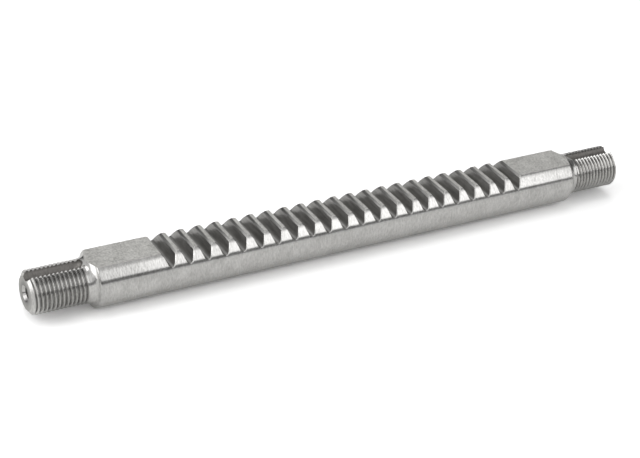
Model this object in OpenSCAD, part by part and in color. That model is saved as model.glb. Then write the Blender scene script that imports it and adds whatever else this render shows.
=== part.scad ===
// Rack shaft: a round steel bar with a milled flat, a row of rack teeth cut across the flat,
// and two reduced ends that carry a screw thread.
// The shaft lies along X with its axis through the origin, and the flat and the teeth face up.

/* [Overall] */
// Length over both end faces
overall_length = 245; // [232:1:300]
// Colour of the bare steel
steel_colour = "silver"; // [silver, lightgray, darkgray]

/* [Body] */
// Diameter of the thick guided body
body_diameter = 20.8; // [20:0.1:24]
// Length of the body between its two shoulders
body_length = 199; // [180:1:206]
// Chamfer on the corner of each shoulder
shoulder_chamfer = 0.8; // [0.2:0.1:1]
// Radius of the fillet between each shoulder and the thinner end
shoulder_fillet = 3.5; // [2.5:0.1:4]
// Height of the milled flat above the axis of the shaft
flat_height = 8.25; // [8.1:0.05:9]

/* [Rack teeth] */
// Module of the teeth, which is their pitch divided by pi
tooth_module = 2.2; // [2.1:0.05:2.4]
// Number of gaps cut across the flat
gap_count = 22; // [2:2:22]
// Depth of a gap below the flat
tooth_depth = 4.27; // [3.8:0.01:4.6]
// Width of a gap at the flat, before its edges are chamfered
gap_width = 4.9; // [4.6:0.05:5.1]
// Angle of the flanks from the vertical
flank_angle = 21; // [18:0.5:24]
// Height of the 45 degree chamfer along the edges of the tooth tips
tip_chamfer = 0.6; // [0.2:0.05:0.7]

/* [Threaded ends] */
// Outside diameter of the thread
thread_diameter = 16; // [14:0.5:16]
// Length of the chamfer at the tip of each end
end_chamfer_length = 1.35; // [0.5:0.05:2]
// Diameter of each end face, inside its chamfer
end_face_diameter = 12.2; // [11:0.1:13]

/* [Keyways] */
// Width of the round-bottomed keyway along the top of each end
keyway_width = 5; // [3:0.1:6]
// Height of the bottom of the keyway above the axis
keyway_floor = 5.3; // [4.8:0.1:6]
// How far the centre of the keyway cutter stops outside the shoulder
keyway_stop = 3; // [2.8:0.1:6]

/* [Centre holes] */
// Diameter of the countersink in each end face
countersink_diameter = 6.2; // [4:0.1:7]
// Full angle of the countersink
countersink_angle = 60; // [60:30:90]
// Diameter of the pilot hole behind the countersink
pilot_diameter = 3; // [2:0.1:3.5]
// Depth of the pilot hole from the end face to its shoulder
pilot_depth = 6; // [5:0.1:8]
// Full angle of the drill point at the bottom of the pilot hole
drill_point_angle = 118; // [90:1:140]

/* [Hidden] */
$fn = 96;

// A cut runs this far past the surface that it opens
past = 1;

end_x = overall_length / 2;
shoulder_x = body_length / 2;
body_r = body_diameter / 2;
thread_r = thread_diameter / 2;

// The fillet starts at the inner edge of the shoulder chamfer and ends tangent to the thread diameter
shoulder_edge_r = body_r - shoulder_chamfer;
fillet_rise = shoulder_edge_r - thread_r;
fillet_run = sqrt(shoulder_fillet ^ 2 - (shoulder_fillet - fillet_rise) ^ 2);
fillet_end_x = shoulder_x + fillet_run;

// The root of a gap is one round that touches both flanks and the bottom
tooth_pitch = PI * tooth_module;
half_gap = gap_width / 2;
root_radius = (half_gap * cos(flank_angle) - tooth_depth * sin(flank_angle)) / (1 - sin(flank_angle));
root_centre_z = flat_height - tooth_depth + root_radius;
root_touch_x = root_radius * cos(flank_angle);
root_touch_z = root_centre_z - root_radius * sin(flank_angle);

// The chamfer starts where the flank reaches this height and runs out to the flat
chamfer_z = flat_height - tip_chamfer;
chamfer_x = half_gap - tip_chamfer * tan(flank_angle);
tip_x = chamfer_x + tip_chamfer;

keyway_r = keyway_width / 2;
keyway_axis_z = keyway_floor + keyway_r;
keyway_end_x = shoulder_x + keyway_stop;

// Outline points of one half of the shaft, as [radius, distance along the axis]
half_outline = [
    [body_r, shoulder_x - shoulder_chamfer],
    [shoulder_edge_r, shoulder_x],
    [shoulder_edge_r, fillet_end_x],
    [thread_r, fillet_end_x],
    [thread_r, end_x - end_chamfer_length],
    [end_face_diameter / 2, end_x],
    [0, end_x]
];

function reversed(points) = [for (i = [len(points) - 1:-1:0]) points[i]];

// Shapes at the right end are repeated at the left end
module at_both_ends() {
    children();
    mirror([1, 0, 0]) children();
}

// The bar as the lathe leaves it: body, shoulders, fillets and plain ends
module turned_bar() {
    left_outline = [for (point = reversed(half_outline)) [point[0], -point[1]]];
    rotate([0, 90, 0]) rotate_extrude() difference() {
        polygon(concat(left_outline, half_outline));
        for (side = [-1, 1])
            translate([thread_r + shoulder_fillet, side * fillet_end_x]) circle(r = shoulder_fillet);
    }
}

// Everything above the flat, over the whole length
module flat_cut() {
    translate([-end_x - past, -body_r - past, flat_height])
        cube([overall_length + 2 * past, body_diameter + 2 * past, body_r]);
}

// Cross-section of one gap between two teeth, looking along the cutter's travel
module gap_section() {
    right_side = [
        [root_touch_x, root_touch_z],
        [chamfer_x, chamfer_z],
        [tip_x, flat_height],
        [tip_x, flat_height + past]
    ];
    left_side = [for (point = reversed(right_side)) [-point[0], point[1]]];
    polygon(concat(right_side, left_side));
    translate([0, root_centre_z]) circle(r = root_radius);
}

// One row of gaps, centred on the middle of the shaft
module tooth_gaps() {
    for (i = [0:gap_count - 1])
        translate([(i - (gap_count - 1) / 2) * tooth_pitch, body_r + past, 0])
            rotate([90, 0, 0]) linear_extrude(body_diameter + 2 * past) gap_section();
}

// A round-bottomed groove, left by a ball-nosed cutter that comes in from the end face
module keyway() {
    groove_length = end_x + past - keyway_end_x;
    translate([keyway_end_x, 0, keyway_axis_z]) {
        rotate([0, 90, 0]) cylinder(r = keyway_r, h = groove_length);
        sphere(r = keyway_r);
        cylinder(r = keyway_r, h = body_r - keyway_axis_z);
        translate([0, -keyway_r, 0]) cube([groove_length, keyway_width, body_r - keyway_axis_z]);
    }
}

// The countersunk hole that holds the end on a lathe centre
module centre_hole() {
    countersink_r = countersink_diameter / 2;
    pilot_r = pilot_diameter / 2;
    countersink_depth = (countersink_r - pilot_r) / tan(countersink_angle / 2);
    point_depth = pilot_r / tan(drill_point_angle / 2);
    translate([end_x, 0, 0]) rotate([0, -90, 0]) rotate_extrude() polygon([
        [0, -past],
        [countersink_r, -past],
        [countersink_r, 0],
        [pilot_r, countersink_depth],
        [pilot_r, pilot_depth],
        [0, pilot_depth + point_depth]
    ]);
}

module rack_shaft() {
    color(steel_colour) difference() {
        turned_bar();
        flat_cut();
        tooth_gaps();
        at_both_ends() {
            keyway();
            centre_hole();
        }
    }
}

rack_shaft();
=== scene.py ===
import math

import bmesh
import bpy
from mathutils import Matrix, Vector


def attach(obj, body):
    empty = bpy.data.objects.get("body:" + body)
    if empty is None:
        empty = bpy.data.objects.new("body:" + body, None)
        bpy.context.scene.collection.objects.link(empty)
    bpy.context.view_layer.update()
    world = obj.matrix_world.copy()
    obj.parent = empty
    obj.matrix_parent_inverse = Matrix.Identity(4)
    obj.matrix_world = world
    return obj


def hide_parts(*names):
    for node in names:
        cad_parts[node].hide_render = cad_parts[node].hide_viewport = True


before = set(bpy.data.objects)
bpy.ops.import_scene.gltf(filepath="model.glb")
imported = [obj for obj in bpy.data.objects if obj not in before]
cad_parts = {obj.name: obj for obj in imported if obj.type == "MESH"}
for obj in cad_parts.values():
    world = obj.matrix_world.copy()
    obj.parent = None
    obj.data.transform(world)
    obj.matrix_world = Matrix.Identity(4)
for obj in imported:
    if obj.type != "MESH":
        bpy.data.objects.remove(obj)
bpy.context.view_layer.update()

# Sizes below are millimetres, and this turns them to Blender's metres
MM = 0.001

# The turned bar, whose body ends in a small rounding that flows into the fillet of the shoulder
end_x = 122.5
shoulder_x = 99.5
shoulder_rounding = 0.6
shoulder_fillet = 3.5
fillet_x = 102.44
body_radius = 10.4
# Length and height of the chamfer at each end
left_chamfer = (1.35, 1.9)
right_chamfer = (0.4, 0.4)

# The milled flat and the teeth of the rack
flat_height = 8.25
rack_module = 2.2
tooth_pitch = rack_module * math.pi
gap_count = 22
tooth_depth = 4.27
half_gap = 2.45
flank_angle = math.radians(21)
tip_chamfer = 0.6

# Width of the filed bevel at both ends of every gap. The three-sided bar that cuts it reaches past
# the bevel, and stands behind it, by these shares of that width
filed_edge = 0.25
file_overhang = 0.6
file_back = 0.8
# Longest step of that bar along a gap's outline, and how far it goes on above the flat
file_step = 0.35
file_reach = 0.2

# The keyway at each end, and how far from the shoulder the middle of its round end is
keyway_radius = 2.5
keyway_floor = 5.3
keyway_stop = 5.0
# Depth of the 45 degree bevel along the keyway's long edges. The side of the three-sided bar that
# cuts it, and how far the bar hangs over the open keyway
keyway_bevel = 0.2
bevel_bar = 1.0
bevel_overhang = 0.3

# The centre hole at each end
countersink_radius = 3.1
countersink_depth = 1.04
pilot_radius = 2.5
pilot_depth = 6.0
drill_point_depth = 1.5

# The M16 x 1.5 screw thread, right-handed at both ends
thread_radius = 8.0
thread_pitch = 1.5
thread_flank = math.radians(30)
thread_root_radius = 7.08
thread_root_width = 0.25
# Width and height of the slope that eases each corner of the root
root_ease = (0.06, 0.10)
# Where the first groove crosses the side that faces the camera, and the turn on which it begins
left_groove_x = -103.2
left_first_turn = -0.4
right_groove_x = 103.2
right_first_turn = -0.2
# Enough turns to leave the bar at its tip
thread_turns = 15
# The last part of a turn, over which the cutter lifts out of the groove
runout_turn = 0.25

# How far the cutting tools reach past the bar, and how far the groove's mouth does
tool_reach = 1
groove_reach = 0.08

# How many pieces a full turn or a round stretch is made of
bar_steps = 240
rounding_steps = 8
fillet_steps = 16
gap_root_steps = 10
keyway_side_steps = 24
keyway_end_steps = 60
thread_steps = 96
# Points nearer than this become one, and so do faces that meet at less than this angle
merge_distance = 0.001
flat_angle = math.radians(0.05)
# Faces that meet at less than this angle are shaded as one smooth surface
smooth_angle = math.radians(28)
# An end face looks along the bar at least this much, and lies no deeper than this in the end
end_face_straightness = 0.999
end_face_depth = 0.01

# Camera, from the fit to the photograph
camera_place = (-291.6, -457.9, 321.1)
camera_turn = (59.057, -4.345, -29.125)
camera_lens = 96.16
camera_sensor = 36

# Brightness of the room, where 1 is white, and the share of it that is left on its dim sides
room_level = 0.68
horizon_level = 0.15
low_level = 0.65
overhead_level = 2.4
back_left_share = 0.3
right_share = 0.2
# Heights above the horizon, in degrees, between which the room changes
horizon_edge = (12, 22)
low_edge = (2, 6)
overhead_edge = (75, 80)
# A direction in the studio is 1 long, with X to the right along the shaft, Y to the back and Z up.
# Each edge from here on is a pair of such numbers, between which the light changes
back_left_way = (-0.42, 0.91, 0)
back_left_edge = (0.7, 0.9)
right_edge = (0.72, 0.95)

# The long light in front, and the share of it that is left at the far right
front_level = 0.78
front_right_level = 2.3
far_right_share = 0.52
front_side_edge = (-0.2, -0.4)
front_right_edge = (0.29, 0.43)
far_right_edge = (0.5, 0.6)
# Its lower edge is 18 degrees up, and from the start on it sinks towards the right, to 12 at X = 0.6
front_bottom_start = 0.3
front_bottom_slope = 0.33
front_bottom_edge = (0.39, 0.425)
# Its upper edge is soft, and sinks from 56 degrees straight ahead to 46 at X = 0.6
front_top_slope = 0.18
front_top_edge = (0.87, 0.79)

# The soft light at the left, with its power in watts
softbox_place = (-880, 125, 425)
softbox_size = (800, 770)
softbox_power = 3.6

# The paper floor: its colour as the steel mirrors it, and how much light it gives back to the camera
floor_size = 8000
floor_colour = "#F4F4F3"
seen_floor = 1.48


def deselect_all():
    for thing in bpy.context.selected_objects:
        thing.select_set(False)


def make_active(thing):
    deselect_all()
    thing.select_set(True)
    bpy.context.view_layer.objects.active = thing


def linear_colour(hex_colour):
    """The linear colour of an sRGB hex colour."""
    parts = [int(hex_colour[i:i + 2], 16) / 255 for i in (1, 3, 5)]
    straight = [part / 12.92 if part <= 0.04045 else ((part + 0.055) / 1.055) ** 2.4 for part in parts]
    return (*straight, 1.0)


def add_node(tree, kind, inputs=None, **settings):
    """Adds a node, sets its fields, and gives each named input a value or a link from a socket."""
    node = tree.nodes.new(kind)
    for key, value in settings.items():
        setattr(node, key, value)
    for key, value in (inputs or {}).items():
        if isinstance(value, bpy.types.NodeSocket):
            tree.links.new(value, node.inputs[key])
        else:
            node.inputs[key].default_value = value
    return node


def ramp(value, edge, before=0.0, after=1.0):
    """The inputs of a node that goes from one level to another while a value crosses an edge."""
    return {"Value": value, "From Min": edge[0], "From Max": edge[1], "To Min": before, "To Max": after}


def new_material(name):
    material = bpy.data.materials.new(name)
    material.use_nodes = True
    material.node_tree.nodes.clear()
    return material, material.node_tree


# Outlines and solids

def arc(centre, radius, start, stop, pieces):
    """Points on an arc, from the angle start to the angle stop in degrees."""
    angles = [math.radians(start + (stop - start) * i / pieces) for i in range(pieces + 1)]
    return [(centre[0] + radius * math.cos(a), centre[1] + radius * math.sin(a)) for a in angles]


def mirrored(points):
    """The same points on the other side of the vertical axis, in the opposite order."""
    return [(-x, z) for x, z in reversed(points)]


def outline_object(name, points, closed):
    """An outline of (x, z) points in the XZ plane, closed by a face or left as a line."""
    count = len(points)
    faces = [list(range(count))] if closed else []
    edges = [] if closed else [(i, i + 1) for i in range(count - 1)]
    data = bpy.data.meshes.new(name)
    data.from_pydata([(x * MM, 0, z * MM) for x, z in points], edges, faces)
    thing = bpy.data.objects.new(name, data)
    bpy.context.scene.collection.objects.link(thing)
    make_active(thing)
    return thing


def spun(name, points):
    """A solid of revolution about the shaft's axis."""
    thing = outline_object(name, points, closed=False)
    bpy.ops.object.mode_set(mode="EDIT")
    bpy.ops.mesh.select_all(action="SELECT")
    bpy.ops.mesh.spin(steps=bar_steps, angle=2 * math.pi, center=(0, 0, 0), axis=(1, 0, 0))
    bpy.ops.mesh.select_all(action="SELECT")
    bpy.ops.mesh.remove_doubles(threshold=merge_distance * MM)
    bpy.ops.mesh.normals_make_consistent(inside=False)
    bpy.ops.object.mode_set(mode="OBJECT")
    return thing


def pulled(name, points, way):
    """A solid made by pulling a closed outline along a vector in millimetres."""
    thing = outline_object(name, points, closed=True)
    bpy.ops.object.mode_set(mode="EDIT")
    bpy.ops.mesh.select_all(action="SELECT")
    bpy.ops.mesh.extrude_region_move(TRANSFORM_OT_translate={"value": Vector(way) * MM})
    bpy.ops.mesh.select_all(action="SELECT")
    bpy.ops.mesh.normals_make_consistent(inside=False)
    bpy.ops.object.mode_set(mode="OBJECT")
    return thing


def add_tube(mesh, rings):
    """Adds the walls of a tube that goes from one ring of vertices to the next, and closes its ends."""
    for ring, following in zip(rings, rings[1:]):
        for i in range(len(ring)):
            j = (i + 1) % len(ring)
            mesh.faces.new((ring[i], ring[j], following[j], following[i]))
    mesh.faces.new(rings[0])
    mesh.faces.new(list(reversed(rings[-1])))


def solid_from(mesh, name):
    """An object made from a finished bmesh, with its faces turned outward."""
    bmesh.ops.recalc_face_normals(mesh, faces=mesh.faces)
    data = bpy.data.meshes.new(name)
    mesh.to_mesh(data)
    mesh.free()
    solid = bpy.data.objects.new(name, data)
    bpy.context.scene.collection.objects.link(solid)
    return solid


# The bar and the tools that cut it

def half_profile(end_chamfer):
    """Outline of one half of the bar, from the middle of the body to the centre of the end face."""
    centre_r = thread_radius + shoulder_fillet
    drop = centre_r - (body_radius - shoulder_rounding)
    across = shoulder_fillet + shoulder_rounding
    lean = math.degrees(math.asin(drop / across))
    rounding_centre = (fillet_x - math.sqrt(across ** 2 - drop ** 2), body_radius - shoulder_rounding)
    length, height = end_chamfer
    return [
        *arc(rounding_centre, shoulder_rounding, 90, lean, rounding_steps),
        *arc((fillet_x, centre_r), shoulder_fillet, 180 + lean, 270, fillet_steps)[1:],
        (end_x - length, thread_radius),
        (end_x, thread_radius - height),
        (end_x, 0),
    ]


def turned_bar():
    """The bar as the lathe leaves it, with its shoulders, fillets and end chamfers."""
    bar = spun("shaft", mirrored(half_profile(left_chamfer)) + half_profile(right_chamfer))
    bpy.ops.object.mode_set(mode="EDIT")
    bpy.ops.mesh.select_all(action="SELECT")
    bpy.ops.mesh.dissolve_limited(angle_limit=flat_angle)
    bpy.ops.object.mode_set(mode="OBJECT")
    return bar


def flat_cut():
    """What the milling cutter takes off above the flat."""
    top = body_radius + tool_reach
    side = end_x + tool_reach
    outline = [(-side, flat_height), (side, flat_height), (side, top), (-side, top)]
    flat = pulled("flat", outline, (0, 2 * top, 0))
    flat.location.y = -top * MM
    return flat


def gap_outline():
    """Section of one gap: a full round at the root, straight flanks and chamfered tip edges."""
    sine, cosine = math.sin(flank_angle), math.cos(flank_angle)
    lean = math.degrees(flank_angle)
    root_radius = (half_gap * cosine - tooth_depth * sine) / (1 - sine)
    root_z = flat_height - tooth_depth + root_radius
    chamfer_x = half_gap - tip_chamfer * math.tan(flank_angle)
    right = [
        *arc((0, root_z), root_radius, 270, 360 - lean, gap_root_steps)[1:],
        (chamfer_x, flat_height - tip_chamfer),
        (chamfer_x + tip_chamfer, flat_height),
        (chamfer_x + tip_chamfer, flat_height + tool_reach),
    ]
    return mirrored(right) + [(0, root_z - root_radius)] + right


def gap_places():
    """X of the middle of every gap."""
    return [(i - (gap_count - 1) / 2) * tooth_pitch for i in range(gap_count)]


def tooth_gaps():
    """All the gaps, as one tool that reaches past both sides of the bar."""
    side = body_radius + tool_reach
    first = pulled("tooth_gaps", gap_outline(), (0, 2 * side, 0))
    shapes = []
    for gap_x in gap_places():
        gap = first.copy()
        gap.data = first.data.copy()
        gap.location = (gap_x * MM, -side * MM, 0)
        bpy.context.scene.collection.objects.link(gap)
        shapes.append(gap)
    bpy.data.objects.remove(first)
    deselect_all()
    for gap in shapes:
        gap.select_set(True)
    bpy.context.view_layer.objects.active = shapes[0]
    bpy.ops.object.join()
    bpy.ops.object.transform_apply(location=True, rotation=False, scale=False)
    return shapes[0]


def filed_path():
    """The outline of a gap in short steps, which starts and ends a little above the flat."""
    outline = [(x, z) for x, z in gap_outline() if z <= flat_height]
    path = []
    for (x0, z0), (x1, z1) in zip(outline, outline[1:]):
        pieces = max(1, round(math.hypot(x1 - x0, z1 - z0) / file_step))
        path += [(x0 + (x1 - x0) * i / pieces, z0 + (z1 - z0) * i / pieces) for i in range(pieces)]
    path.append(outline[-1])
    above = flat_height + file_reach
    return [(path[0][0], above), *path, (path[-1][0], above)]


def add_filed_bar(mesh, path, gap_x, side):
    """Adds the bar that bevels one end of a gap, where side is -1 at the near end and 1 at the far one."""
    rings = []
    for i, (x, z) in enumerate(path):
        before, after = path[max(i - 1, 0)], path[min(i + 1, len(path) - 1)]
        # The outline runs from left to right, so its left-hand side is the open gap
        into_gap = Vector((before[1] - after[1], 0, after[0] - before[0])).normalized()
        outward = Vector((0, side * math.sqrt(body_radius ** 2 - z ** 2), z)).normalized()
        edge = Vector((gap_x + x, body_radius * outward.y, z))
        along_bar = (outward * into_gap.dot(outward) - into_gap).normalized() * filed_edge
        down_wall = (into_gap * into_gap.dot(outward) - outward).normalized() * filed_edge
        corners = (
            edge + along_bar * (1 + file_overhang) - down_wall * file_overhang,
            edge + down_wall * (1 + file_overhang) - along_bar * file_overhang,
            edge - (along_bar + down_wall) * file_back,
        )
        rings.append([mesh.verts.new(corner * MM) for corner in corners])
    add_tube(mesh, rings)


def filed_edges():
    """A narrow bevel along both ends of every gap: a three-sided bar swept along each edge."""
    path = filed_path()
    mesh = bmesh.new()
    for gap_x in gap_places():
        for side in (-1, 1):
            add_filed_bar(mesh, path, gap_x, side)
    return solid_from(mesh, "filed_edges")


def keyway_tool():
    """The path of a ball-nosed cutter that comes in from the end, as one solid."""
    stop_x = shoulder_x + keyway_stop
    open_x = end_x + tool_reach
    top = body_radius + tool_reach
    side = arc((0, keyway_floor + keyway_radius), keyway_radius, 270, 360, keyway_side_steps)
    side += [(keyway_radius, top), (0, top)]
    angles = [math.radians(90 + 180 * i / keyway_end_steps) for i in range(keyway_end_steps + 1)]
    stations = [(open_x, angles[0]), *[(stop_x, angle) for angle in angles], (open_x, angles[-1])]
    mesh = bmesh.new()
    columns = []
    for x, angle in stations:
        columns.append([
            mesh.verts.new(Vector((x + reach * math.cos(angle), reach * math.sin(angle), z)) * MM)
            for reach, z in side
        ])
    for before, after in zip(columns, columns[1:]):
        for i in range(len(side) - 1):
            mesh.faces.new((before[i], before[i + 1], after[i + 1], after[i]))
    mesh.faces.new(columns[0] + list(reversed(columns[-1])))
    bmesh.ops.remove_doubles(mesh, verts=mesh.verts, dist=merge_distance * MM)
    return solid_from(mesh, "keyway")


def keyway_edges():
    """A bevel along the right keyway's two long edges: a three-sided bar on each.

    Both bars start beside the tip of the keyway's round end."""
    inner_y = keyway_radius - bevel_overhang
    low_z = math.sqrt(thread_radius ** 2 - keyway_radius ** 2) - keyway_bevel - bevel_overhang
    section = ((inner_y, low_z), (inner_y + bevel_bar, low_z + bevel_bar), (inner_y, low_z + bevel_bar))
    stretch = (shoulder_x + keyway_stop - keyway_radius, end_x + tool_reach)
    mesh = bmesh.new()
    for side in (-1, 1):
        add_tube(mesh, [
            [mesh.verts.new(Vector((x, side * y, z)) * MM) for y, z in section]
            for x in stretch
        ])
    return solid_from(mesh, "keyway_edges")


def centre_hole():
    """The countersunk hole that holds the end on a lathe centre."""
    return spun("centre_hole", [
        (end_x + tool_reach, 0),
        (end_x + tool_reach, countersink_radius),
        (end_x, countersink_radius),
        (end_x - countersink_depth, pilot_radius),
        (end_x - pilot_depth, pilot_radius),
        (end_x - pilot_depth - drill_point_depth, 0),
    ])


def other_end(tool):
    """A copy of a tool at the left end of the shaft."""
    copy = tool.copy()
    copy.data = tool.data.copy()
    bpy.context.scene.collection.objects.link(copy)
    make_active(copy)
    for vertex in copy.data.vertices:
        vertex.co.x = -vertex.co.x
    bpy.ops.object.mode_set(mode="EDIT")
    bpy.ops.mesh.select_all(action="SELECT")
    bpy.ops.mesh.normals_make_consistent(inside=False)
    bpy.ops.object.mode_set(mode="OBJECT")
    return copy


def thread_groove(name, groove_x, first_turn, towards_end):
    """The helical groove that a threading tool cuts, as a solid to take out of the bar.

    Turns count from where it crosses the near side at groove_x, and towards_end is the way to the tip."""
    half_root = thread_root_width / 2
    mouth_radius = thread_radius + groove_reach
    cut_depth = mouth_radius - thread_root_radius
    ease_width, ease_height = root_ease
    right = [
        (half_root, thread_root_radius),
        (half_root + ease_width, thread_root_radius + ease_height),
        (half_root + cut_depth * math.tan(thread_flank), mouth_radius),
    ]
    section = mirrored(right) + right
    mesh = bmesh.new()
    rings = []
    for step in range(round(first_turn * thread_steps), thread_turns * thread_steps + 1):
        turned = step / thread_steps
        angle = math.pi + towards_end * 2 * math.pi * turned
        middle = groove_x + towards_end * thread_pitch * turned
        lift = max(0.0, 1 - (turned - first_turn) / runout_turn) * cut_depth
        rings.append([
            mesh.verts.new((
                (middle + x) * MM,
                (radius + lift) * math.cos(angle) * MM,
                (radius + lift) * math.sin(angle) * MM,
            ))
            for x, radius in section
        ])
    add_tube(mesh, rings)
    return solid_from(mesh, name)


def cut(shaft, tool, material):
    """Takes a tool out of the shaft and gives the cut faces the tool's finish."""
    tool.data.materials.clear()
    tool.data.materials.append(material)
    make_active(shaft)
    boolean = shaft.modifiers.new("cut", "BOOLEAN")
    boolean.object = tool
    boolean.operation = "DIFFERENCE"
    boolean.solver = "EXACT"
    boolean.material_mode = "TRANSFER"
    bpy.ops.object.modifier_apply(modifier=boolean.name)
    bpy.data.objects.remove(tool)


# Materials

def streaks(tree, place, along_shaft, round_it):
    """Noise with these grain sizes in millimetres, along the shaft and round it."""
    stretched = add_node(tree, "ShaderNodeMapping", {
        "Vector": place,
        "Scale": (1 / (along_shaft * MM), 1 / (round_it * MM), 1 / (round_it * MM)),
    })
    noise = add_node(tree, "ShaderNodeTexNoise", {
        "Vector": stretched.outputs["Vector"],
        "Scale": 1.0,
        "Detail": 3.0,
        "Roughness": 0.6,
    })
    return noise.outputs["Fac"]


def darker_inside(tree, place, colour, inner_radius, outer_radius, inner_share):
    """A colour that has only a share of its brightness up to one radius, and all of it from another."""
    across = add_node(tree, "ShaderNodeVectorMath", {0: place, 1: (0, 1, 1)}, operation="MULTIPLY")
    radius = add_node(tree, "ShaderNodeVectorMath", {0: across.outputs["Vector"]}, operation="LENGTH")
    edge = (inner_radius * MM, outer_radius * MM)
    share = add_node(tree, "ShaderNodeMapRange", ramp(radius.outputs["Value"], edge, inner_share))
    shaded = add_node(tree, "ShaderNodeVectorMath", {
        0: colour,
        "Scale": share.outputs["Result"],
    }, operation="SCALE")
    return shaded.outputs["Vector"]


def steel(name, dark, light, roughness, grain, wide_grain, mark_depth, anisotropy=0.0, shade=None):
    """Bare steel whose tool marks have two grain sizes, each (along the shaft, round it) in millimetres.

    Most of the real marks are 0.1 mm wide or finer, which is too fine to show in the render, so they
    are drawn as coarse as they need to be to show. shade is an inner and an outer radius, and the
    share of its brightness that the steel has up to the inner one."""
    material, tree = new_material(name)
    place = add_node(tree, "ShaderNodeTexCoord").outputs["Object"]
    fine = streaks(tree, place, *grain)
    wide = streaks(tree, place, *wide_grain)
    # The wide grain counts for half as much as the fine one, and most of their sum lies in this range
    wide_weight = 0.5
    sum_range = (0.5, 1.0)
    both = add_node(tree, "ShaderNodeMath", {
        0: wide,
        1: wide_weight,
        2: fine,
    }, operation="MULTIPLY_ADD").outputs["Value"]
    mark = add_node(tree, "ShaderNodeMapRange", ramp(both, sum_range))
    polish = add_node(tree, "ShaderNodeMapRange", ramp(both, sum_range, *roughness))
    colour = add_node(tree, "ShaderNodeMix", {
        0: mark.outputs["Result"],
        6: linear_colour(dark),
        7: linear_colour(light),
    }, data_type="RGBA").outputs[2]
    if shade:
        colour = darker_inside(tree, place, colour, *shade)
    bump = add_node(tree, "ShaderNodeBump", {"Height": fine, "Distance": mark_depth * MM})
    shader = add_node(tree, "ShaderNodeBsdfPrincipled", {
        "Base Color": colour,
        "Metallic": 1.0,
        "Roughness": polish.outputs["Result"],
        "Anisotropic": anisotropy,
        "Normal": bump.outputs["Normal"],
    })
    if anisotropy:
        # The tangent runs round the bar, and a quarter turn lays the smear along it
        round_way = add_node(tree, "ShaderNodeTangent", direction_type="RADIAL", axis="X")
        tree.links.new(round_way.outputs["Tangent"], shader.inputs["Tangent"])
        shader.inputs["Anisotropic Rotation"].default_value = 0.25
    add_node(tree, "ShaderNodeOutputMaterial", {"Surface": shader.outputs["BSDF"]})
    return material


def turned_steel():
    """Ground after turning: bright, with fine rings round the bar that smear light along it."""
    return steel(
        "turned steel", "#B3B2B0", "#DBDAD8", roughness=(0.19, 0.23),
        grain=(0.45, 1.4), wide_grain=(5, 6), mark_depth=0.0006, anisotropy=0.8,
    )


def milled_steel():
    """Face-milled and left matt, with faint marks of the cutter."""
    return steel(
        "face-milled steel", "#B2B1AD", "#EFEEEA", roughness=(0.36, 0.46),
        grain=(0.6, 0.8), wide_grain=(5, 6), mark_depth=0.005,
    )


def hobbed_steel():
    """Tooth flanks as the cutter leaves them: darker, with scores that run across the shaft."""
    return steel(
        "hobbed tooth steel", "#8C8B89", "#B7B6B4", roughness=(0.28, 0.38),
        grain=(0.3, 9), wide_grain=(2, 4), mark_depth=0.002,
    )


def threaded_steel():
    """Thread flanks, brightly cut in the lathe, with painted shade that darkens the roots."""
    # Painted shade: below this radius the colour darkens towards the root, down to this share of its
    # brightness
    unshaded_radius = 7.7
    root_share = 0.5
    return steel(
        "cut thread steel", "#BEBDBB", "#D6D5D3", roughness=(0.2, 0.3),
        grain=(0.3, 4), wide_grain=(3, 6), mark_depth=0.001,
        shade=(thread_root_radius, unshaded_radius, root_share),
    )


def faced_steel():
    """End faces: turned flat, and darker towards the centre hole."""
    bright_radius = 5.2
    centre_share = 0.55
    return steel(
        "faced steel", "#A4A3A0", "#BBBAB7", roughness=(0.3, 0.4),
        grain=(1, 1.5), wide_grain=(3, 3), mark_depth=0.001,
        shade=(countersink_radius, bright_radius, centre_share),
    )


def slot_steel():
    """Inside of the keyways: rough, with a dark colour that is painted shade of the recess."""
    return steel(
        "slot-milled steel", "#6C6A67", "#8C8986", roughness=(0.45, 0.6),
        grain=(0.6, 1.5), wide_grain=(3, 3), mark_depth=0.002,
    )


# The shaft

def finish_end_faces(shaft):
    """Gives the flat of both ends the finish of a facing cut."""
    shaft.data.materials.append(faced_steel())
    for face in shaft.data.polygons:
        straight = abs(face.normal.x) > end_face_straightness
        if straight and abs(face.center.x) > (end_x - end_face_depth) * MM:
            face.material_index = len(shaft.data.materials) - 1


def make_shaft():
    turned = turned_steel()
    milled = milled_steel()
    hobbed = hobbed_steel()
    threaded = threaded_steel()
    slotted = slot_steel()
    shaft = turned_bar()
    shaft.data.materials.append(turned)
    cut(shaft, flat_cut(), milled)
    cut(shaft, tooth_gaps(), hobbed)
    cut(shaft, filed_edges(), turned)
    for make_tool, finish in ((keyway_tool, slotted), (keyway_edges, turned), (centre_hole, turned)):
        tool = make_tool()
        cut(shaft, other_end(tool), finish)
        cut(shaft, tool, finish)
    cut(shaft, thread_groove("left_groove", left_groove_x, left_first_turn, -1), threaded)
    cut(shaft, thread_groove("right_groove", right_groove_x, right_first_turn, 1), threaded)
    finish_end_faces(shaft)
    make_active(shaft)
    bpy.ops.object.shade_smooth_by_angle(angle=smooth_angle)
    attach(shaft, "root")
    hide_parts("rack_shaft")


# Stage

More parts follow.
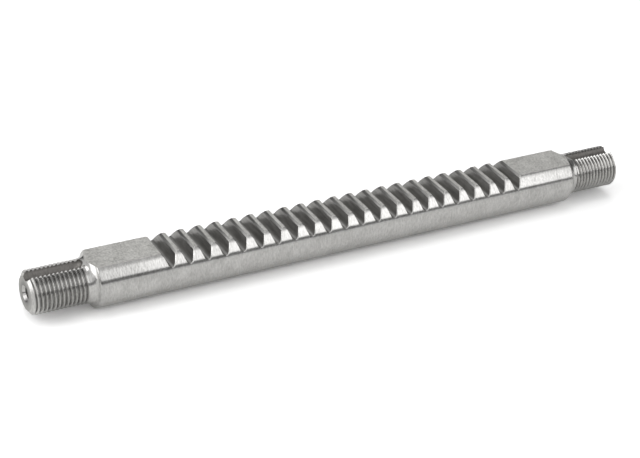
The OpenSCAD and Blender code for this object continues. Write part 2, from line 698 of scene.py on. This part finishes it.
def white_floor():
    """Plain white paper, which the camera sees brighter than the steel does, so that it stays white."""
    bpy.ops.mesh.primitive_plane_add(size=floor_size * MM, location=(0, 0, -body_radius * MM))
    floor = bpy.context.active_object
    floor.name = "floor"
    material, tree = new_material("white paper floor")
    path = add_node(tree, "ShaderNodeLightPath")
    lit = add_node(tree, "ShaderNodeBsdfDiffuse", {"Color": linear_colour(floor_colour)})
    seen = add_node(tree, "ShaderNodeBsdfDiffuse", {"Color": (seen_floor, seen_floor, seen_floor, 1)})
    mixed = add_node(tree, "ShaderNodeMixShader", {
        "Fac": path.outputs["Is Camera Ray"],
        1: lit.outputs["BSDF"],
        2: seen.outputs["BSDF"],
    })
    add_node(tree, "ShaderNodeOutputMaterial", {"Surface": mixed.outputs["Shader"]})
    floor.data.materials.append(material)


def rises(heights):
    """Z of the directions at these heights above the horizon, in degrees."""
    return [math.sin(math.radians(height)) for height in heights]


def room_light(tree, where, parts):
    """The walls: dark low down, pale higher up, and dimmer at the back left and at the right."""
    walls = add_node(
        tree, "ShaderNodeMapRange",
        ramp(parts.outputs["Z"], rises(horizon_edge), horizon_level, room_level),
        interpolation_type="SMOOTHSTEP",
    )
    back_left = add_node(tree, "ShaderNodeVectorMath", {
        0: where,
        1: back_left_way,
    }, operation="DOT_PRODUCT")
    level_way = add_node(tree, "ShaderNodeVectorMath", {0: where, 1: (1, 1, 0)}, operation="MULTIPLY")
    heading = add_node(tree, "ShaderNodeVectorMath", {
        0: level_way.outputs["Vector"],
    }, operation="NORMALIZE")
    rightward = add_node(tree, "ShaderNodeSeparateXYZ", {"Vector": heading.outputs["Vector"]})
    back_share = add_node(
        tree, "ShaderNodeMapRange",
        ramp(back_left.outputs["Value"], back_left_edge, 1.0, back_left_share),
        interpolation_type="SMOOTHSTEP",
    )
    side_share = add_node(
        tree, "ShaderNodeMapRange",
        ramp(rightward.outputs["X"], right_edge, 1.0, right_share),
        interpolation_type="SMOOTHSTEP",
    )
    shares = add_node(tree, "ShaderNodeMath", {
        0: back_share.outputs["Result"],
        1: side_share.outputs["Result"],
    }, operation="MULTIPLY")
    level = add_node(tree, "ShaderNodeMath", {
        0: walls.outputs["Result"],
        1: shares.outputs["Value"],
    }, operation="MULTIPLY")
    return level.outputs["Value"]


def front_light_place(tree, parts):
    """1 where the long light in front is, 0 where it isn't, and between them at its soft edges."""
    rightness = add_node(tree, "ShaderNodeMath", {
        0: parts.outputs["X"],
        1: front_bottom_start,
    }, operation="MAXIMUM")
    bottom = add_node(tree, "ShaderNodeMath", {
        0: rightness.outputs["Value"],
        1: front_bottom_slope,
        2: parts.outputs["Z"],
    }, operation="MULTIPLY_ADD")
    top = add_node(tree, "ShaderNodeMath", {
        0: parts.outputs["X"],
        1: front_top_slope,
        2: parts.outputs["Z"],
    }, operation="MULTIPLY_ADD")
    above = add_node(tree, "ShaderNodeMapRange", ramp(bottom.outputs["Value"], front_bottom_edge))
    below = add_node(tree, "ShaderNodeMapRange", ramp(top.outputs["Value"], front_top_edge))
    in_front = add_node(tree, "ShaderNodeMapRange", ramp(parts.outputs["Y"], front_side_edge))
    tall = add_node(tree, "ShaderNodeMath", {
        0: above.outputs["Result"],
        1: below.outputs["Result"],
    }, operation="MULTIPLY")
    place = add_node(tree, "ShaderNodeMath", {
        0: tall.outputs["Value"],
        1: in_front.outputs["Result"],
    }, operation="MULTIPLY")
    return place.outputs["Value"]


def front_light_level(tree, parts):
    """Brightness of the long light: plain at the left, strong at the right, weaker at the far right."""
    to_right = add_node(
        tree, "ShaderNodeMapRange",
        ramp(parts.outputs["X"], front_right_edge, front_level, front_right_level),
        interpolation_type="SMOOTHSTEP",
    )
    far_right = add_node(
        tree, "ShaderNodeMapRange",
        ramp(parts.outputs["X"], far_right_edge, 1.0, far_right_share),
        interpolation_type="SMOOTHSTEP",
    )
    level = add_node(tree, "ShaderNodeMath", {
        0: to_right.outputs["Result"],
        1: far_right.outputs["Result"],
    }, operation="MULTIPLY")
    return level.outputs["Value"]


def studio_world():
    """A pale room with a long light in front, light along the horizon and a bright patch overhead."""
    world = bpy.data.worlds.new("studio")
    bpy.context.scene.world = world
    world.use_nodes = True
    tree = world.node_tree
    tree.nodes.clear()
    where = add_node(tree, "ShaderNodeTexCoord").outputs["Generated"]
    parts = add_node(tree, "ShaderNodeSeparateXYZ", {"Vector": where})
    level = add_node(tree, "ShaderNodeMix", {
        0: front_light_place(tree, parts),
        2: room_light(tree, where, parts),
        3: front_light_level(tree, parts),
    }, data_type="FLOAT").outputs[0]
    for edge, under, over in ((low_edge, low_level, 0.0), (overhead_edge, 0.0, overhead_level)):
        extra = add_node(
            tree, "ShaderNodeMapRange",
            ramp(parts.outputs["Z"], rises(edge), under, over),
            interpolation_type="SMOOTHSTEP",
        )
        level = add_node(tree, "ShaderNodeMath", {0: level, 1: extra.outputs["Result"]}).outputs["Value"]
    sky = add_node(tree, "ShaderNodeBackground", {"Color": (1, 1, 1, 1), "Strength": level})
    add_node(tree, "ShaderNodeOutputWorld", {"Surface": sky.outputs["Background"]})


def left_softbox():
    """A broad soft light at the left, turned to the middle of the shaft."""
    lamp = bpy.data.lights.new("left softbox", "AREA")
    lamp.shape = "RECTANGLE"
    lamp.size, lamp.size_y = [side * MM for side in softbox_size]
    lamp.energy = softbox_power
    holder = bpy.data.objects.new("left softbox", lamp)
    bpy.context.scene.collection.objects.link(holder)
    holder.location = Vector(softbox_place) * MM
    holder.rotation_euler = (-holder.location).to_track_quat("-Z", "Y").to_euler()


def photo_camera():
    data = bpy.data.cameras.new("camera")
    data.lens = camera_lens
    data.sensor_width = camera_sensor
    camera = bpy.data.objects.new("camera", data)
    bpy.context.scene.collection.objects.link(camera)
    camera.location = Vector(camera_place) * MM
    camera.rotation_euler = [math.radians(angle) for angle in camera_turn]
    bpy.context.scene.camera = camera


photo_camera()
make_shaft()
white_floor()
studio_world()
left_softbox()
bpy.context.scene.view_settings.view_transform = "Standard"
